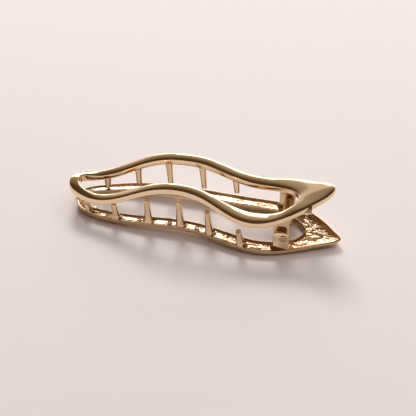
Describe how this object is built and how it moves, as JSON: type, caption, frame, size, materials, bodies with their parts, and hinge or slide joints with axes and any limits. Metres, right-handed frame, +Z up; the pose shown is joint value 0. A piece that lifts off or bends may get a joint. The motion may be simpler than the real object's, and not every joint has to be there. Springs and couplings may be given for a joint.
{
  "type": "spring hair clip",
  "caption": "Spring hair clip of open wavy cast loops with interleaved teeth, hinged on a cross pin and squeezed open by pointed thumb plates to gather and hold hair.",
  "frame": {"origin": "on the surface that the clip lies on, under the middle of its bounding box", "axes": "+X from the front end of the jaws to the thumb plates, +Y from the strands that carry the lower jaw's teeth to those that carry the upper jaw's teeth, +Z up from the lower jaw to the upper jaw"},
  "size_m": [0.0668, 0.0207, 0.0169],
  "materials": {
    "lower_casting": "cast zinc alloy plated in pale gold, polished outside and as cast in its hollow back",
    "upper_casting": "cast zinc alloy plated in pale gold, polished",
    "pin_steel": "steel plated in gold, upset at both ends",
    "spring_wire": "drawn spring steel plated in gold"
  },
  "bodies": {
    "lower_jaw": {"lower_frame": "lower_casting", "hinge_pin": "pin_steel", "spring_coil": "spring_wire"},
    "upper_jaw": {"upper_frame": "upper_casting", "spring_leg": "spring_wire"}
  },
  "joints": [
    {"name": "jaw_hinge", "type": "hinge", "parent": "lower_jaw", "child": "upper_jaw", "pos_m": [0.02015, 0, 0.0049], "axis": [0, 1, 0], "range_deg": [0, 50], "stiffness_Nm_per_rad": 0.08, "springref_deg": -28.65}
  ]
}
